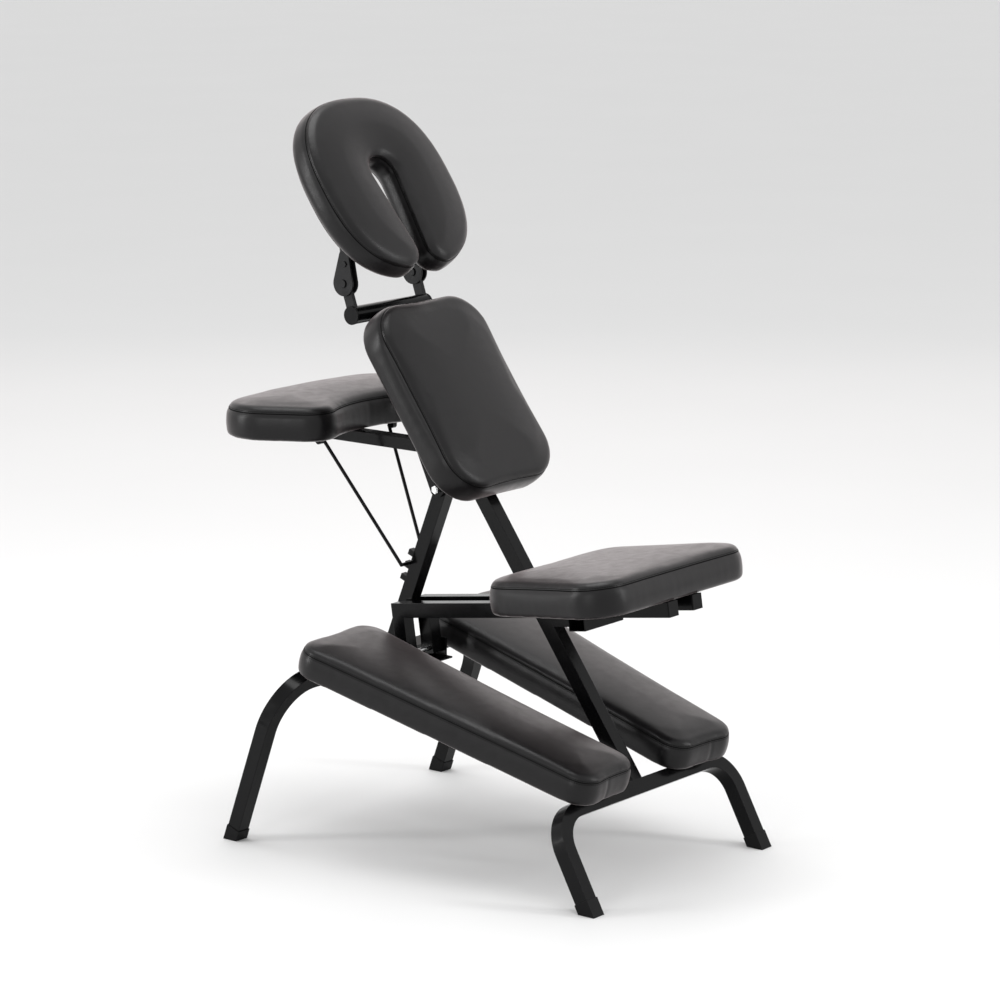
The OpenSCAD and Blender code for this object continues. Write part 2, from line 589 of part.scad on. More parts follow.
module face_pad() color("#2b2b2d") face_place() difference() {
    linear_extrude(face_size[2]) face_outline();
    translate([0, 0, -1]) linear_extrude(board_t + 1) face_outline(board_inset);
}

main_beam();
neck_bar();
neck_caps();
rear_leg_frame();
rear_feet();
apex_bracket();
apex_bolt();
seat_shelf();
chest_plates();
chest_board();
chest_screws();
chest_pad();
cradle_stems();
front_strut();
front_leg_frame();
front_feet();
foot_bracket();
stay_hooks();
arm_pivot_bolt();
seat_pivot_bolt();
knee_lugs();
knee_pins();
seat_rail_left();
seat_rail_right();
rail_plugs();
seat_board();
seat_screws();
seat_pad();
knee_hinge_left();
knee_board_left();
knee_screws_left();
knee_pad_left();
knee_hinge_right();
knee_board_right();
knee_screws_right();
knee_pad_right();
arm_tube();
arm_straps();
arm_tube_plug();
arm_plate();
arm_board();
arm_screws();
arm_pad();
rod_eyes();
stay_rod();
cradle_plates();
cradle_rivets();
cradle_arms();
face_base();
face_board();
face_screws();
face_pad();
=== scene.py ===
import json
import math

import bmesh
import bpy
import numpy as np
from mathutils import Matrix, Vector
from mathutils.bvhtree import BVHTree


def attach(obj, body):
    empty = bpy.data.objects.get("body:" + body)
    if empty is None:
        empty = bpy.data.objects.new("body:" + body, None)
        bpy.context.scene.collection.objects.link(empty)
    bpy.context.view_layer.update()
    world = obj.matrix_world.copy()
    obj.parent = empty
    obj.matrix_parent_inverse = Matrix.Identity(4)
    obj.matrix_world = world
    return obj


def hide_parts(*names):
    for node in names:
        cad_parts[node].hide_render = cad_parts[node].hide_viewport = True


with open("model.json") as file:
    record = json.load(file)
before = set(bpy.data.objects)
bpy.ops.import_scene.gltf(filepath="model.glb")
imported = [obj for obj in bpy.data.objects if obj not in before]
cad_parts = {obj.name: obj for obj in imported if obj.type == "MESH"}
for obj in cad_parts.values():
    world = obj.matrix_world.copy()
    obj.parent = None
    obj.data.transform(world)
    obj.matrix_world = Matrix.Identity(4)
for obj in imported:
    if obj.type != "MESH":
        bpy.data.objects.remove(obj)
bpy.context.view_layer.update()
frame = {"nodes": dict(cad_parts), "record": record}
NODES = frame["nodes"]
MM = 0.001


# ---------------------------------------------------------------- materials
def new_material(name):
    mat = bpy.data.materials.new(name)
    mat.use_nodes = True
    tree = mat.node_tree
    bsdf = tree.nodes["Principled BSDF"]
    return mat, tree, bsdf


def add(tree, kind, inputs=None, **props):
    node = tree.nodes.new(kind)
    for key, value in props.items():
        setattr(node, key, value)
    for key, value in (inputs or {}).items():
        node.inputs[key].default_value = value
    return node


def ramp(tree, source, low, high, out_low, out_high):
    limits = {"From Min": low, "From Max": high, "To Min": out_low, "To Max": out_high}
    node = add(tree, "ShaderNodeMapRange", limits)
    tree.links.new(source, node.inputs["Value"])
    return node.outputs["Result"]


def noise(tree, coords, scale, detail=3.0, rough=0.5):
    node = add(tree, "ShaderNodeTexNoise", {"Scale": scale, "Detail": detail, "Roughness": rough})
    tree.links.new(coords, node.inputs["Vector"])
    return node.outputs["Fac"]


def bump(tree, height, strength, distance, normal=None):
    node = add(tree, "ShaderNodeBump", {"Strength": strength, "Distance": distance})
    tree.links.new(height, node.inputs["Height"])
    if normal is not None:
        tree.links.new(normal, node.inputs["Normal"])
    return node.outputs["Normal"]


def blend_colors(tree, factor, one, two):
    """A colour that goes from one to two with the factor."""
    node = add(tree, "ShaderNodeMix", data_type="RGBA")
    node.inputs[6].default_value = (*one, 1)
    node.inputs[7].default_value = (*two, 1)
    tree.links.new(factor, node.inputs[0])
    return node.outputs[2]


def object_coords(tree):
    return add(tree, "ShaderNodeTexCoord").outputs["Object"]


def leather():
    mat, tree, bsdf = new_material("pad_leather")
    co = object_coords(tree)
    broad = noise(tree, co, 9.0, 2.0)
    fine = noise(tree, co, 420.0, 2.0, 0.6)
    grain = add(tree, "ShaderNodeTexVoronoi", {"Scale": 620.0}, feature="DISTANCE_TO_EDGE")
    tree.links.new(co, grain.inputs["Vector"])
    creases = noise(tree, co, 38.0, 4.0, 0.55)
    color = blend_colors(tree, broad, (0.0028, 0.0026, 0.0030), (0.0042, 0.0038, 0.0042))
    tree.links.new(color, bsdf.inputs["Base Color"])
    rough = ramp(tree, noise(tree, co, 60.0, 3.0), 0.3, 0.7, 0.31, 0.40)
    tree.links.new(rough, bsdf.inputs["Roughness"])
    normal = bump(tree, grain.outputs["Distance"], 0.25, 0.00035)
    normal = bump(tree, fine, 0.18, 0.0004, normal)
    normal = bump(tree, creases, 0.10, 0.0015, normal)
    tree.links.new(normal, bsdf.inputs["Normal"])
    bsdf.inputs["Specular IOR Level"].default_value = 0.26
    bsdf.inputs["Sheen Weight"].default_value = 0.24
    bsdf.inputs["Sheen Roughness"].default_value = 0.35
    bsdf.inputs["Sheen Tint"].default_value = (0.95, 0.82, 0.82, 1)
    return mat


def gloss_black(name, base, low, high, coat, spec, pebble=0.0, edge=0.0016):
    mat, tree, bsdf = new_material(name)
    co = object_coords(tree)
    bevel = add(tree, "ShaderNodeBevel", {"Radius": edge})
    bevel.samples = 6
    color = blend_colors(tree, noise(tree, co, 14.0, 3.0), base, [c * 1.5 for c in base])
    tree.links.new(color, bsdf.inputs["Base Color"])
    tree.links.new(ramp(tree, noise(tree, co, 45.0, 4.0), 0.3, 0.7, low, high), bsdf.inputs["Roughness"])
    normal = bump(tree, noise(tree, co, 160.0, 2.0), 0.05, 0.0006, bevel.outputs["Normal"])
    if pebble:
        normal = bump(tree, noise(tree, co, 900.0, 2.0), pebble, 0.0004, normal)
    tree.links.new(normal, bsdf.inputs["Normal"])
    bsdf.inputs["Specular IOR Level"].default_value = spec
    bsdf.inputs["Coat Weight"].default_value = coat
    bsdf.inputs["Coat Roughness"].default_value = 0.10
    return mat


def zinc():
    mat, tree, bsdf = new_material("zinc")
    co = object_coords(tree)
    bevel = add(tree, "ShaderNodeBevel", {"Radius": 0.0006})
    bevel.samples = 6
    bsdf.inputs["Metallic"].default_value = 1.0
    color = blend_colors(tree, noise(tree, co, 70.0, 3.0), (0.60, 0.61, 0.62), (0.74, 0.74, 0.73))
    tree.links.new(color, bsdf.inputs["Base Color"])
    tree.links.new(ramp(tree, noise(tree, co, 240.0, 3.0), 0.3, 0.7, 0.22, 0.38), bsdf.inputs["Roughness"])
    normal = bump(tree, noise(tree, co, 700.0), 0.08, 0.0003, bevel.outputs["Normal"])
    tree.links.new(normal, bsdf.inputs["Normal"])
    return mat


def stained_board():
    mat, tree, bsdf = new_material("stained_board")
    co = object_coords(tree)
    stretch = add(tree, "ShaderNodeMapping", {"Scale": (14.0, 1.0, 14.0)})
    tree.links.new(co, stretch.inputs["Vector"])
    grain = noise(tree, stretch.outputs["Vector"], 24.0, 5.0, 0.6)
    color = blend_colors(tree, grain, (0.010, 0.009, 0.009), (0.030, 0.027, 0.025))
    tree.links.new(color, bsdf.inputs["Base Color"])
    tree.links.new(ramp(tree, grain, 0.2, 0.8, 0.6, 0.8), bsdf.inputs["Roughness"])
    tree.links.new(bump(tree, grain, 0.25, 0.0006), bsdf.inputs["Normal"])
    return mat


def thread_and_seam_shade():
    mat, tree, bsdf = new_material("thread_and_seam_shade")
    co = object_coords(tree)
    # near black and barely glossy: real dark thread in the rows of stitches, and painted shade of the seam's
    # groove where it draws the seam's line
    bsdf.inputs["Base Color"].default_value = (0.001, 0.001, 0.001, 1)
    bsdf.inputs["Specular IOR Level"].default_value = 0.05
    tree.links.new(ramp(tree, noise(tree, co, 900.0), 0.3, 0.7, 0.5, 0.7), bsdf.inputs["Roughness"])
    tree.links.new(bump(tree, noise(tree, co, 2600.0), 0.4, 0.0002), bsdf.inputs["Normal"])
    return mat


def floor_paint():
    mat, tree, bsdf = new_material("floor_paint")
    co = object_coords(tree)
    color = blend_colors(tree, noise(tree, co, 1.5), (0.66, 0.66, 0.66), (0.68, 0.68, 0.68))
    tree.links.new(color, bsdf.inputs["Base Color"])
    bsdf.inputs["Roughness"].default_value = 0.7
    return mat


LEATHER = leather()
FRAME = gloss_black("frame_black", (0.0014, 0.0014, 0.0016), 0.14, 0.24, 0.05, 0.12)
ROD = gloss_black("rod_black", (0.0014, 0.0014, 0.0016), 0.25, 0.36, 0.05, 0.12, 0.0, 0.0004)
CRADLE = gloss_black("cradle_grey", (0.0035, 0.0035, 0.0040), 0.34, 0.46, 0.0, 0.18, 0.25, 0.0008)
PLASTIC = gloss_black("foot_plastic", (0.0016, 0.0016, 0.0018), 0.40, 0.54, 0.0, 0.12, 0.15, 0.0012)
ZINC = zinc()
BOARD = stained_board()
THREAD_AND_SEAM_SHADE = thread_and_seam_shade()
BY_SLOT = {"frame_black": FRAME, "rod_black": ROD, "cradle_grey": CRADLE, "foot_plastic": PLASTIC,
           "zinc": ZINC, "plywood": BOARD, "pad_leather": LEATHER}
for part in frame["record"]["subparts"]:
    mesh = NODES[part["node"]].data
    mesh.materials.clear()
    mesh.materials.append(BY_SLOT[part["material_slot"]])


# ---------------------------------------------------------------- pads
# the top edge lies this share of the crown's rise below the pad's height
CROWN_BELOW = 0.45
# in millimetres: depth and width of a join's groove in the boxing, width of the dent at the seam
JOIN_DEPTH, JOIN_WIDTH = 1.3, 2.6
SEAM_WIDTH = 3.2
# uneven waves: as a share of the seam's pull, and in millimetres in the boxing
PUCKER, DRAG = 0.15, 0.15
# the cloth simulation: metres of the cover held at its foot, and passes that even out its movement
HELD = 0.003
SMOOTHING = 24
# a thread, in a row of stitches and in the seam's line of painted shade: how far out its ray starts, how far
# it stands proud, how flat it is
RAY_START, PROUD, FLATNESS = 9, 0.15, 0.6
# gap, length and half thickness of the dashes in the seam, which close up into a dark line of painted shade
# in the seam's groove, and in a row of stitches
SEAM_SHADE_DASH = (3.0, 3.0, 1.0)
ROW_DASH = (4.2, 3.0, 0.5)


def resample(points, step):
    """A closed polygon with points evenly spaced about step apart."""
    p = np.array(points, float)
    q = np.vstack([p, p[:1]])
    lengths = np.linalg.norm(np.diff(q, axis=0), axis=1)
    run = np.concatenate([[0], np.cumsum(lengths)])
    n = int(round(run[-1] / step))
    at = np.linspace(0, run[-1], n, endpoint=False)
    return np.stack([np.interp(at, run, q[:, 0]), np.interp(at, run, q[:, 1])], 1)


def arc(cx, cy, r, a0, a1, n=24):
    t = np.radians(np.linspace(a0, a1, n))
    return np.stack([cx + r * np.cos(t), cy + r * np.sin(t)], 1)


def rounded(w0, w1, length, r, bow):
    """Plan of a pad, w0 wide at -Y and w1 at +Y, corner radius r; bow is how far each side is drawn in."""
    h = length / 2
    slope = math.degrees(math.atan2((w0 - w1) / 2, length - 2 * r))
    parts = [arc(w1 / 2 - r, h - r, r, slope, 90), arc(-w1 / 2 + r, h - r, r, 90, 180 - slope),
             arc(-w0 / 2 + r, -h + r, r, 180 - slope, 270), arc(w0 / 2 - r, -h + r, r, 270, 360 + slope)]
    p = resample(np.vstack(parts), 3.0)
    inner = min(w0, w1) / 2 - r
    along = np.abs(p[:, 1]) / (h - r)
    across = np.abs(p[:, 0]) / inner
    p[:, 0] *= 1 - bow / (w0 / 2) * np.clip(1 - along ** 2, 0, 1) * (np.abs(p[:, 0]) > inner)
    p[:, 1] *= 1 - bow / h * np.clip(1 - across ** 2, 0, 1) * (np.abs(p[:, 1]) > h - r)
    return p


class Plan:
    """A closed plan outline with distances to it, in millimetres."""

    def __init__(self, points, step=3.0):
        p = resample(points, step)
        area = 0.5 * np.sum(p[:, 0] * np.roll(p[:, 1], -1) - np.roll(p[:, 0], -1) * p[:, 1])
        self.p = p if area > 0 else p[::-1].copy()
        nxt = np.roll(self.p, -1, 0)
        self.ab = nxt - self.p
        self.len = np.linalg.norm(self.ab, axis=1)
        self.run = np.concatenate([[0], np.cumsum(self.len)])[:-1]
        self.total = float(self.len.sum())
        n = np.stack([self.ab[:, 1], -self.ab[:, 0]], 1) / self.len[:, None]
        vn = n + np.roll(n, 1, 0)
        self.vn = vn / np.linalg.norm(vn, axis=1)[:, None]

    def nearest(self, q):
        """(distance inside, outward normal, nearest point, run along the outline) for each point of q."""
        out_d, out_n, out_c, out_u = [], [], [], []
        for k in range(0, len(q), 2000):
            c = q[k:k + 2000]
            ap = c[:, None] - self.p[None]
            t = np.clip(np.einsum("ijk,jk->ij", ap, self.ab) / (self.len ** 2)[None], 0, 1)
            near = self.p[None] + t[..., None] * self.ab[None]
            d2 = ((c[:, None] - near) ** 2).sum(-1)
            i = d2.argmin(1)
            rows = np.arange(len(c))
            tt = t[rows, i][:, None]
            normal = self.vn[i] * (1 - tt) + self.vn[(i + 1) % len(self.p)] * tt
            normal /= np.linalg.norm(normal, axis=1)[:, None]
            point = near[rows, i]
            d = np.sqrt(d2[rows, i])
            y0, y1 = self.p[:, 1], np.roll(self.p[:, 1], -1)
            x0, x1 = self.p[:, 0], np.roll(self.p[:, 0], -1)
            cross = (y0[None] > c[:, 1:2]) != (y1[None] > c[:, 1:2])
            xs = x0[None] + (c[:, 1:2] - y0[None]) * ((x1 - x0) / np.where(y1 == y0, 1e-9, y1 - y0))[None]
            inside = ((cross & (c[:, 0:1] < xs)).sum(1) % 2) == 1
            out_d.append(np.where(inside, d, -d))
            out_n.append(normal)
            out_c.append(point)
            out_u.append(self.run[i] + tt[:, 0] * self.len[i])
        return np.concatenate(out_d), np.vstack(out_n), np.vstack(out_c), np.concatenate(out_u)

    def at(self, u):
        """Point and outward normal at run u."""
        u = np.mod(u, self.total)
        i = np.clip(np.searchsorted(self.run, u, side="right") - 1, 0, len(self.p) - 1)
        t = ((u - self.run[i]) / self.len[i])[:, None]
        normal = self.vn[i] * (1 - t) + self.vn[(i + 1) % len(self.p)] * t
        return self.p[i] + t * self.ab[i], normal / np.linalg.norm(normal, axis=1)[:, None]


def prism(name, plan, height, voxel):
    """The plan's prism, remeshed in even quads."""
    bm = bmesh.new()
    low = [bm.verts.new((x, y, 0)) for x, y in plan.p]
    high = [bm.verts.new((x, y, height)) for x, y in plan.p]
    bm.faces.new(low[::-1])
    bm.faces.new(high)
    n = len(low)
    for i in range(n):
        j = (i + 1) % n
        bm.faces.new((low[i], low[j], high[j], high[i]))
    bmesh.ops.triangulate(bm, faces=bm.faces[:])
    mesh = bpy.data.meshes.new(name)
    bm.to_mesh(mesh)
    bm.free()
    obj = bpy.data.objects.new(name, mesh)
    bpy.context.scene.collection.objects.link(obj)
    mod = obj.modifiers.new("even", "REMESH")
    mod.mode = "VOXEL"
    mod.voxel_size = voxel
    apply_all(obj)
    return obj


def apply_all(obj):
    graph = bpy.context.evaluated_depsgraph_get()
    mesh = bpy.data.meshes.new_from_object(obj.evaluated_get(graph))
    old = obj.data
    obj.modifiers.clear()
    obj.data = mesh
    bpy.data.meshes.remove(old)


def ripple(u, total, count, seed):
    """A smooth uneven wave round the outline."""
    rng = np.random.default_rng(seed)
    out = np.zeros_like(u)
    for k in range(6):
        freq = int(count * (0.6 + 0.2 * k))
        out += rng.uniform(0.4, 1.0) * np.sin(2 * math.pi * freq * u / total + rng.uniform(0, 6.28))
    return out / 4.0


def edge_height(height, spec):
    return height - spec["crown"] * CROWN_BELOW


def shape_pad(obj, plan, height, spec, skin):
    """Turns the even prism into an upholstered form. Points nearer the outline than skin are its side."""
    n = len(obj.data.vertices)
    co = np.empty(n * 3)
    obj.data.vertices.foreach_get("co", co)
    co = co.reshape(-1, 3)
    lo, hi = co[:, 2].min(), co[:, 2].max()
    z = (co[:, 2] - lo) / (hi - lo) * height
    d, normal, near, u = plan.nearest(co[:, :2])
    r_top, r_low, crown = spec["round"], spec["low_round"], spec["crown"]
    edge_h = edge_height(height, spec)
    side = d < skin
    d = np.clip(d, 0, None)
    z_side = z / height * edge_h
    top = z > height / 2
    out = np.zeros(n)
    new_z = np.where(top, edge_h, 0.0)
    inset = d.copy()
    # top edge, by the distance from it: positive over the top, negative down the side
    s = np.where(side, z_side - edge_h, d)
    k = top & (s < r_top) & (s > -r_top)
    ang = (s + r_top) / (2 * r_top) * math.pi / 2
    inset = np.where(k, r_top * (1 - np.cos(ang)), inset)
    new_z = np.where(k, edge_h - r_top + r_top * np.sin(ang), new_z)
    # bottom edge
    s_low = np.where(side, z_side, -d)
    k_low = ~top & (s_low < r_low) & (s_low > -r_low)
    ang = (r_low - s_low) / (2 * r_low) * math.pi / 2
    inset = np.where(k_low, r_low * (1 - np.cos(ang)), inset)
    new_z = np.where(k_low, r_low - r_low * np.sin(ang), new_z)
    # flat side
    flat = side & ~k & ~k_low
    inset = np.where(flat, 0.0, inset)
    new_z = np.where(flat, z_side, new_z)
    # crown over the top
    w = spec["crown_w"]
    rise = 1 - np.exp(-(np.clip(d - 2, 0, None) / w) ** 1.6)
    new_z = new_z + np.where(top & ~flat, crown * rise, 0)
    # boxing swells between the two seams, and both seams pull in
    seam = edge_h - spec["seam"]
    body = np.clip((new_z - 2) / (seam - 2), 0, 1)
    out += np.where(side, spec["swell"] * np.sin(math.pi * body), 0)
    shoulder = np.clip((new_z - seam) / (edge_h - seam + 4), 0, 1)
    out += np.where(side | (inset < r_top), spec["lip"] * np.sin(math.pi * shoulder), 0)
    pucker = ripple(u, plan.total, plan.total / 14, spec["seed"])
    dip = np.exp(-((new_z - seam) / SEAM_WIDTH) ** 2)
    out -= np.where(side | (inset < r_top), spec["pull"] * dip * (1 + PUCKER * pucker), 0)
    # upright joins in the boxing
    for at in spec["joins"]:
        mark = plan.nearest(np.array([at], float))[3][0]
        du = np.abs((u - mark + plan.total / 2) % plan.total - plan.total / 2)
        out -= np.where(side & (new_z < seam), JOIN_DEPTH * np.exp(-(du / JOIN_WIDTH) ** 2), 0)
    # slight drag creases in the boxing
    drag = ripple(u, plan.total, plan.total / 26, spec["seed"] + 5)
    out += np.where(side, DRAG * drag * np.sin(math.pi * body), 0)
    x = near[:, 0] + normal[:, 0] * (out - inset)
    y = near[:, 1] + normal[:, 1] * (out - inset)
    deep = ~side & (d > r_top) & (d > r_low)
    x = np.where(deep, co[:, 0], x)
    y = np.where(deep, co[:, 1], y)
    final = np.stack([x, y, new_z], 1)
    obj.data.vertices.foreach_set("co", final.ravel())
    obj.data.update()


def puff(obj, cap, frames=14):
    """Inflates the cover a little with the cloth simulation; no point moves further than cap."""
    scene = bpy.context.scene
    start = np.empty(len(obj.data.vertices) * 3)
    obj.data.vertices.foreach_get("co", start)
    start = start.reshape(-1, 3)
    hold = obj.vertex_groups.new(name="hold")
    floor = start[:, 2].min()
    for i in np.nonzero(start[:, 2] < floor + HELD)[0]:
        hold.add([int(i)], 1.0, "REPLACE")
    cloth = obj.modifiers.new("cover", "CLOTH")
    s = cloth.settings
    s.quality = 4
    s.mass = 0.4
    s.tension_stiffness = 40
    s.compression_stiffness = 40
    s.shear_stiffness = 20
    s.bending_stiffness = 18
    s.use_pressure = True
    s.uniform_pressure_force = 3.5
    s.effector_weights.gravity = 0
    s.vertex_group_mass = "hold"
    cloth.collision_settings.use_collision = False
    cloth.point_cache.frame_start = 1
    cloth.point_cache.frame_end = frames
    for f in range(1, frames + 1):
        scene.frame_set(f)
    graph = bpy.context.evaluated_depsgraph_get()
    swollen = obj.evaluated_get(graph).to_mesh()
    end = np.empty(len(swollen.vertices) * 3)
    swollen.vertices.foreach_get("co", end)
    end = end.reshape(-1, 3)
    obj.evaluated_get(graph).to_mesh_clear()
    obj.modifiers.clear()
    obj.vertex_groups.clear()
    move = end - start
    move[~np.isfinite(move)] = 0
    edges = np.array([e.vertices[:] for e in obj.data.edges])
    count = np.bincount(edges.ravel(), minlength=len(move))[:, None]
    for _ in range(SMOOTHING):
        total = np.zeros_like(move)
        np.add.at(total, edges[:, 0], move[edges[:, 1]])
        np.add.at(total, edges[:, 1], move[edges[:, 0]])
        move = 0.5 * move + 0.5 * total / np.maximum(count, 1)
    size = np.linalg.norm(move, axis=1)[:, None]
    move *= np.minimum(1.0, cap / np.maximum(size, 1e-9))
    obj.data.vertices.foreach_set("co", (start + move).ravel())
    obj.data.update()
    scene.frame_set(1)


def seam_shade_and_stitches(name, cover, plan, spec, height, place, lift, gap, long, thick):
    """Thread dashes along the seam, a fixed way above or below it, laid on the cover; with no lift and dashes
    as long as their gap they make the seam's dark line, painted shade of its groove.
    """
    edge_h = edge_height(height, spec)
    z = edge_h - spec["seam"] + lift
    count = int(plan.total / gap)
    u = np.arange(count) * plan.total / count
    # dashes that are as long as their gap close up into one line: the seam's dark line of painted shade
    long = long if gap > long else plan.total / count
    r_top = spec["round"]
    inset = 0.0
    if z > edge_h - r_top:
        s = (z - (edge_h - r_top)) / r_top
        inset = r_top * (1 - math.sqrt(max(0.0, 1 - s * s)))
    points, normals = plan.at(np.sort(np.concatenate([u, u + long])))
    laid = []
    for p, n in zip(points, normals):
        start = Vector((*(p - n * inset), z)) + Vector((*n, 0)) * RAY_START
        hit, face_normal, _, _ = cover.ray_cast(start * MM, Vector((*-n, 0)))
        laid.append((hit / MM, face_normal) if hit is not None else None)
    bm = bmesh.new()
    for one, two in zip(laid[::2], laid[1::2]):
        if one is None or two is None or (one[0] - two[0]).length > 2 * long:
            continue
        (pa, outward), (pb, _) = one, two
        along = (pb - pa).normalized()
        across = along.cross(outward).normalized()
        rings = []
        for t, w in ((0.0, 0.5), (0.2, 1.0), (0.8, 1.0), (1.0, 0.5)):
            c = pa.lerp(pb, t) + outward * PROUD
            ring = [c + (outward * math.cos(q) * FLATNESS + across * math.sin(q)) * w * thick
                    for q in (0, 1.57, 3.14, 4.71)]
            rings.append([bm.verts.new(v * MM) for v in ring])
        for r0, r1 in zip(rings, rings[1:]):
            for k in range(4):
                bm.faces.new((r0[k], r0[(k + 1) % 4], r1[(k + 1) % 4], r1[k]))
        bm.faces.new(rings[0][::-1])
        bm.faces.new(rings[-1])
    mesh = bpy.data.meshes.new(name)
    bm.to_mesh(mesh)
    bm.free()
    # dark thread, which along the seam itself is painted shade of the groove
    mesh.materials.append(THREAD_AND_SEAM_SHADE)
    obj = bpy.data.objects.new(name, mesh)
    bpy.context.scene.collection.objects.link(obj)
    obj.matrix_world = place
    return obj


def upholster(node, body, outline, height, place, spec, rows=(2.6,)):
    """A stitched cover in place of the node's plain pad; rows are the heights of stitches over the seam."""
    plan = Plan(outline)
    voxel = 5.0
    obj = prism(node + "_cover", Plan(outline, 4.0), height, voxel)
    shape_pad(obj, plan, height, spec, voxel * 0.55)
    for v in obj.data.vertices:
        v.co *= MM
    puff(obj, spec["cap"] * MM)
    mod = obj.modifiers.new("fine", "SUBSURF")
    mod.levels = mod.render_levels = 1
    apply_all(obj)
    obj.data.materials.clear()
    obj.data.materials.append(LEATHER)
    obj.data.polygons.foreach_set("use_smooth", [True] * len(obj.data.polygons))
    obj.matrix_world = place
    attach(obj, body)
    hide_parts(node)
    skin = BVHTree.FromPolygons([v.co for v in obj.data.vertices], [p.vertices for p in obj.data.polygons])
    # the first line is the seam's dark line, painted shade of its groove; the others are rows of stitches
    for k, line in enumerate([(0.0, *SEAM_SHADE_DASH)] + [(lift, *ROW_DASH) for lift in rows]):
        line = seam_shade_and_stitches(f"{node}_stitch_and_seam_shade_{k}", skin, plan, spec, height, place, *line)
        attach(line, body)


def pad_frame(x, y, z, tilt, thick=0.0, yaw=0.0):
    """Where a pad's underside goes: thick / 2 under x, y, z, tilted about X and then turned about Z."""
    return (Matrix.Translation((x * MM, y * MM, z * MM)) @ Matrix.Rotation(math.radians(yaw), 4, "Z")
            @ Matrix.Rotation(math.radians(tilt), 4, "X") @ Matrix.Translation((0, 0, -thick / 2 * MM)))


# edge radii, the crown's rise and how far in it is reached, the seam's depth under the top edge, the swell of
# the boxing, the swell of the lip over the seam, the pull of the seam, the most that the cloth moves
BASE = {"round": 15.0, "low_round": 7.0, "crown": 8.0, "crown_w": 52.0, "seam": 10.0, "swell": 2.2,
        "lip": 0.8, "pull": 1.9, "cap": 2.0}


def chest_pad():
    width, length, thick, corner = 268, 349, 62, 68
    outline = rounded(width, width, length, corner, 1.0)
    spec = {**BASE, "seed": 3, "joins": ((0, 180),), "crown": 9.0}
    upholster("chest_pad", "rear_frame", outline, thick, pad_frame(0, 43.8, 751.1, 55.0, thick), spec)


def seat_pad():
    rear_w, front_w, length, thick, corner = 412, 358, 284, 60, 60
    outline = rounded(rear_w, front_w, length, corner, 1.0)
    spec = {**BASE, "seed": 5, "joins": ((0, 145),)}
    upholster("seat_pad", "seat_frame", outline, thick, pad_frame(0, -278.8, 452.3, -8.4), spec)


def knee_pad(side, name):
    rear_w, front_w, length, thick, corner = 160, 204, 582, 55, 40
    outline = rounded(rear_w, front_w, length, corner, 1.5)
    spec = {**BASE, "seed": 7 + side, "joins": ((side * 13, -300), (0, 300)),
            "crown": 7.0, "crown_w": 40.0, "round": 13.0}
    spot = pad_frame(side * 154, -95.5, 260.1, 15.5, thick, -side * 4.7)
    upholster(f"knee_pad_{name}", f"{name}_knee_rest", outline, thick, spot, spec, (2.6, -2.6))


def convex(points):
    """The convex hull of a set of points, anticlockwise."""
    pts = sorted(map(tuple, points))
    chains = []
    for run in (pts, pts[::-1]):
        chain = []
        for q in run:
            while len(chain) > 1:
                (ax, ay), (bx, by) = chain[-2], chain[-1]
                if (bx - ax) * (q[1] - ay) - (by - ay) * (q[0] - ax) > 0:
                    break
                chain.pop()
            chain.append(q)
        chains.append(chain[:-1])
    return np.array(chains[0] + chains[1])


def soften(points, width):
    """Rounds the sharp corners of a closed outline of even steps."""
    half = width // 2
    padded = np.vstack([points[-half:], points, points[:half]])
    kernel = np.ones(2 * half + 1) / (2 * half + 1)
    return np.stack([np.convolve(padded[:, k], kernel, mode="valid") for k in (0, 1)], 1)


def arm_plan():
    """Two round lobes towards the client, a hollow between them, sides that flare out, a bowed far edge."""
    half, depth = 210, 207
    rounds = [arc(side * x, y, r, 0, 360, 90) for side in (-1, 1)
              for x, y, r in ((128, 42 - depth / 2, 42), (half - 72, 19, 72), (60, depth / 2 - 62, 62))]
    p = resample(convex(np.vstack(rounds)), 2.0)
    hollow_r = 233
    hollow_y = 28 - depth / 2 - hollow_r
    low = p[:, 1] < 0
    rim = hollow_y + np.sqrt(np.clip(hollow_r ** 2 - p[:, 0] ** 2, 0, None))
    p[:, 1] = np.where(low, np.maximum(p[:, 1], rim), p[:, 1])
    return soften(resample(p, 2.0), 11)


def arm_pad():
    thick = 60
    spec = {**BASE, "seed": 11, "joins": ((10, -76),), "round": 17.0, "crown": 7.0}
    upholster("arm_pad", "arm_rest", arm_plan(), thick, pad_frame(0, 324.2, 672, 0), spec)


def face_plan():
    """A squarish oval with a slot that is round at the brow and narrows to the open chin."""
    a, b, power = 162.0, 164.0, 2.5
    slot_r, slot_y, chin, lip = 30.0, 18.0, 12.0, 34.0
    t = np.radians(np.linspace(-90, 270, 721))
    c, s = np.cos(t), np.sin(t)
    outer_x = a * np.sign(c) * np.abs(c) ** (2 / power)
    outer_y = b * np.sign(s) * np.abs(s) ** (2 / power)
    outer = np.stack([outer_x, outer_y], 1)
    outer = outer[(outer[:, 1] > 0) | (np.abs(outer[:, 0]) > chin + lip)]
    left_tip = arc(-chin - lip, lip + 5 - b, lip, 270, 360, 16)
    brow = arc(0, slot_y, slot_r, 180, 0, 40)
    right_tip = left_tip[::-1] * np.array([-1, 1])
    return soften(resample(np.vstack([outer, left_tip, brow, right_tip]), 2.0), 7)


def face_pad():
    thick = 62
    spec = {**BASE, "seed": 13, "joins": ((0, 170),), "round": 16.0, "low_round": 24.0, "crown_w": 36.0,
            "seam": 12.0, "swell": 2.0}
    upholster("face_pad", "face_cradle", face_plan(), thick, pad_frame(0, 211.5, 1087, 55.2, thick), spec)


chest_pad()
seat_pad()
for side, name in ((-1, "left"), (1, "right")):
    knee_pad(side, name)
arm_pad()
face_pad()


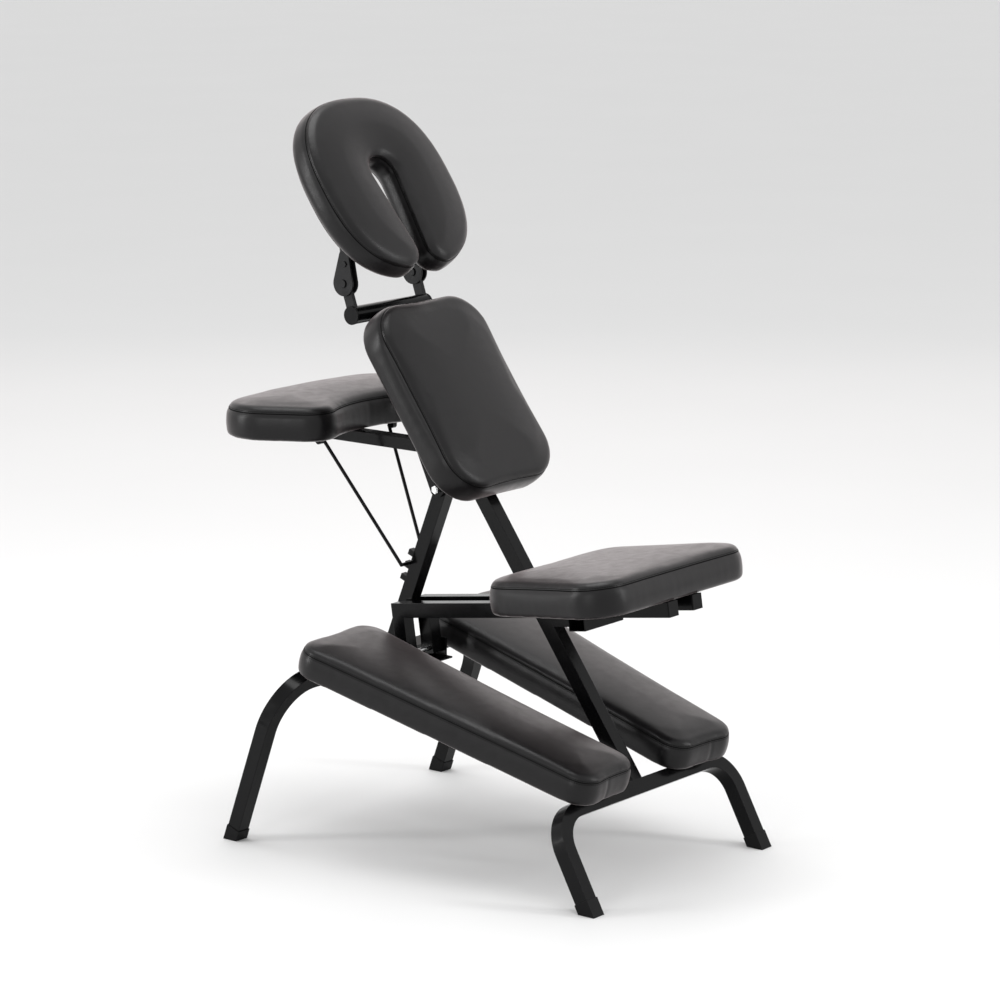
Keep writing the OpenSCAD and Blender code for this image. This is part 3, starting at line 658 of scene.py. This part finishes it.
# ---------------------------------------------------------------- floor, light, camera
scene = bpy.context.scene


def studio_floor(size):
    mesh = bpy.data.meshes.new("floor")
    corners = [(-size, -size, 0), (size, -size, 0), (size, size, 0), (-size, size, 0)]
    mesh.from_pydata(corners, [], [(0, 1, 2, 3)])
    mesh.materials.append(floor_paint())
    floor = bpy.data.objects.new("floor", mesh)
    floor.location.z = -0.0005
    scene.collection.objects.link(floor)


def studio_world(strength):
    world = bpy.data.worlds.new("studio")
    scene.world = world
    world.use_nodes = True
    background = world.node_tree.nodes["Background"]
    background.inputs["Color"].default_value = (1, 1, 1, 1)
    background.inputs["Strength"].default_value = strength


def aim(obj, loc, target):
    obj.location = loc
    obj.rotation_euler = (Vector(target) - Vector(loc)).to_track_quat("-Z", "Y").to_euler()


def area(name, loc, target, w, h, power, color=(1.0, 1.0, 1.0)):
    light = bpy.data.lights.new(name, "AREA")
    light.shape = "RECTANGLE"
    light.size, light.size_y = w, h
    light.energy = power
    light.color = color
    obj = bpy.data.objects.new(name, light)
    aim(obj, loc, target)
    scene.collection.objects.link(obj)


def photo_camera(loc, target, lens):
    cam = bpy.data.cameras.new("camera")
    cam.lens = lens
    cam.sensor_width = 36.0
    cam.clip_end = 300
    camera = bpy.data.objects.new("camera", cam)
    aim(camera, loc, target)
    scene.collection.objects.link(camera)
    scene.camera = camera


studio_floor(70.0)
studio_world(1.0)
area("top_soft", (0.2, 0.4, 4.2), (0, 0, 0.5), 2.4, 2.4, 80)
area("left_strip", (-3.0, 2.6, 1.7), (0, 0, 0.7), 0.45, 2.6, 60)
area("right_strip", (1.6, -3.6, 1.9), (0, 0, 0.6), 0.45, 2.6, 50)
area("front_strip", (-5.0, -0.9, 1.7), (0, 0, 0.6), 0.35, 2.4, 30)
area("back_soft", (3.6, 2.9, 2.4), (0, 0, 0.6), 4.0, 2.4, 14, (1.0, 0.88, 0.86))
photo_camera((-4.718, -3.768, 1.815), (0, -0.0428, 0.5849), 133.1)
scene.view_settings.view_transform = "Standard"
